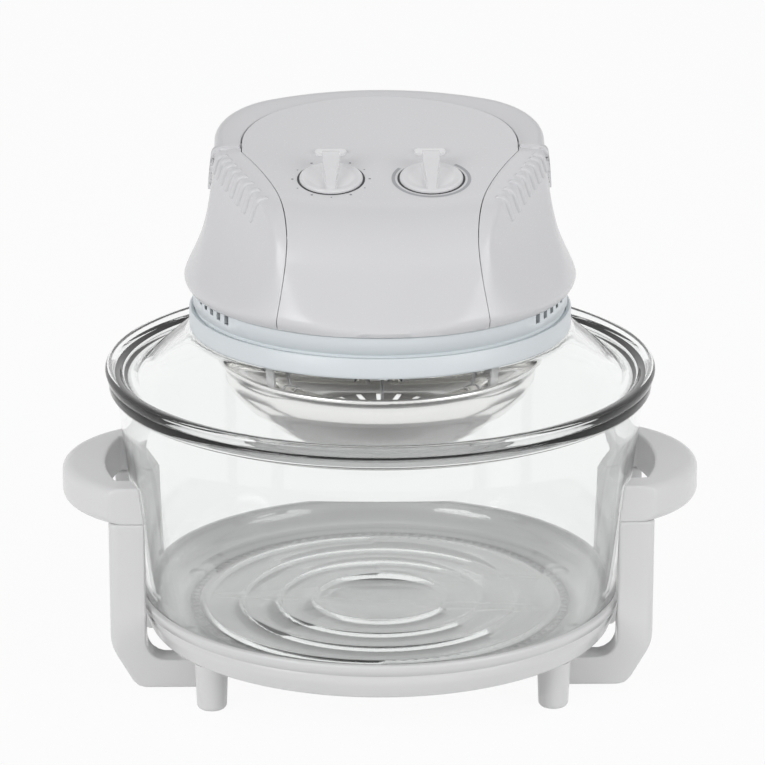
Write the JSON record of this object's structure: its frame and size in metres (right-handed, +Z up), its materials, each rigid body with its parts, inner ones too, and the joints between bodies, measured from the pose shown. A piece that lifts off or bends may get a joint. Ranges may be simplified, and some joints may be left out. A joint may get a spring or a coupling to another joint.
{
  "type": "halogen oven",
  "caption": "Countertop halogen oven: a footed tray with side handles holds a glass bowl, and a lift-off glass lid carries the heater and fan head with its knobs.",
  "frame": {"origin": "On the table under the centre of the glass bowl, which is the bottom centre of the overall box", "axes": "+X to the right side handle as the user faces the controls, -Y towards the user, +Z up"},
  "size_m": [0.384, 0.33, 0.3375],
  "materials": {
    "white_plastic": "smooth moulded white",
    "head_plastic": "smooth moulded off-white",
    "handle_plastic": "smooth moulded off-white",
    "knob_plastic": "smooth moulded white",
    "ring_plastic": "satin bluish white",
    "clear_glass": "clear tempered glass",
    "silicone": "matte grey",
    "fibre_pad": "matte mineral fibre",
    "reflector_sheet": "bright rolled sheet",
    "polished_steel": "polished",
    "white_post": "white enamel",
    "steel": "zinc plated",
    "lamp_glass": "clear quartz",
    "neon_glass": "clear orange glass",
    "ceramic": "matte ivory ceramic",
    "lens_plastic": "polished pale lens",
    "motor_laminations": "bare laminations",
    "copper_winding": "enamelled copper wire",
    "bronze": "sintered bronze",
    "fan_aluminium": "pressed sheet",
    "switch_plastic": "matte black",
    "plunger_plastic": "matte red"
  },
  "bodies": {
    "stand": {"base_tray": "white_plastic", "feet": "white_plastic", "foot_screws": "steel", "bracket_screws": "steel", "front_left_bracket": "white_plastic", "rear_left_bracket": "white_plastic", "front_right_bracket": "white_plastic", "rear_right_bracket": "white_plastic", "left_grip": "white_plastic", "right_grip": "white_plastic"},
    "bowl": {"glass_bowl": "clear_glass"},
    "lid": {"glass_lid": "clear_glass", "lid_gasket": "silicone", "trim_ring": "ring_plastic", "head_base": "ring_plastic", "insulation_pad": "fibre_pad", "reflector": "reflector_sheet", "head_screws": "steel", "heater_guard": "polished_steel", "guard_posts": "white_post", "halogen_lamp": "lamp_glass", "lamp_holders": "ceramic", "lamp_clips": "steel", "control_cover": "head_plastic", "left_shell": "head_plastic", "right_shell": "head_plastic", "rear_cover": "head_plastic", "cord_gland": "knob_plastic", "power_lens": "lens_plastic", "heat_lens": "lens_plastic", "indicator_lamps": "neon_glass", "motor_frame": "steel", "motor_core": "motor_laminations", "motor_coil": "copper_winding", "motor_top_bracket": "steel", "motor_bearings": "bronze", "timer_body": "steel", "thermostat_body": "steel", "safety_switch": "switch_plastic", "terminal_block": "ceramic", "thermal_cutout": "ceramic", "pivot_pins": "steel"},
    "safety_handle": {"safety_handle": "handle_plastic"},
    "switch_plunger": {"switch_plunger": "plunger_plastic"},
    "timer": {"timer_knob": "knob_plastic", "timer_shaft": "steel"},
    "thermostat": {"thermostat_knob": "knob_plastic", "thermostat_shaft": "steel"},
    "fan": {"motor_shaft": "steel", "hot_fan": "fan_aluminium", "cooling_fan": "fan_aluminium"}
  },
  "joints": [
    {"name": "bowl_lift", "type": "slide", "parent": "stand", "child": "bowl", "axis": [0, 0, 1], "range_m": [0, 0.12]},
    {"name": "lid_lift", "type": "slide", "parent": "bowl", "child": "lid", "axis": [0, 0, 1], "range_m": [0, 0.12]},
    {"name": "safety_handle_hinge", "type": "hinge", "parent": "lid", "child": "safety_handle", "pos_m": [0, 0.01319, 0.31873], "axis": [1, 0, 0], "range_deg": [0, 90]},
    {"name": "switch_press", "type": "slide", "parent": "lid", "child": "switch_plunger", "axis": [0, -0.225, 0.9744], "range_m": [0, 0.0025]},
    {"name": "timer_turn", "type": "hinge", "parent": "lid", "child": "timer", "pos_m": [-0.0293, -0.03391, 0.31247], "axis": [0, 0.225, -0.9744], "range_deg": [0, 300]},
    {"name": "thermostat_turn", "type": "hinge", "parent": "lid", "child": "thermostat", "pos_m": [0.0293, -0.03391, 0.31247], "axis": [0, 0.225, -0.9744], "range_deg": [0, 300]},
    {"name": "fan_spin", "type": "hinge", "parent": "lid", "child": "fan", "pos_m": [0, 0, 0.25], "axis": [0, 0, 1], "continuous": true}
  ],
  "couplings": [
    {"joint": "switch_press", "follows": "safety_handle_hinge", "m_per_rad": 0.00159}
  ]
}
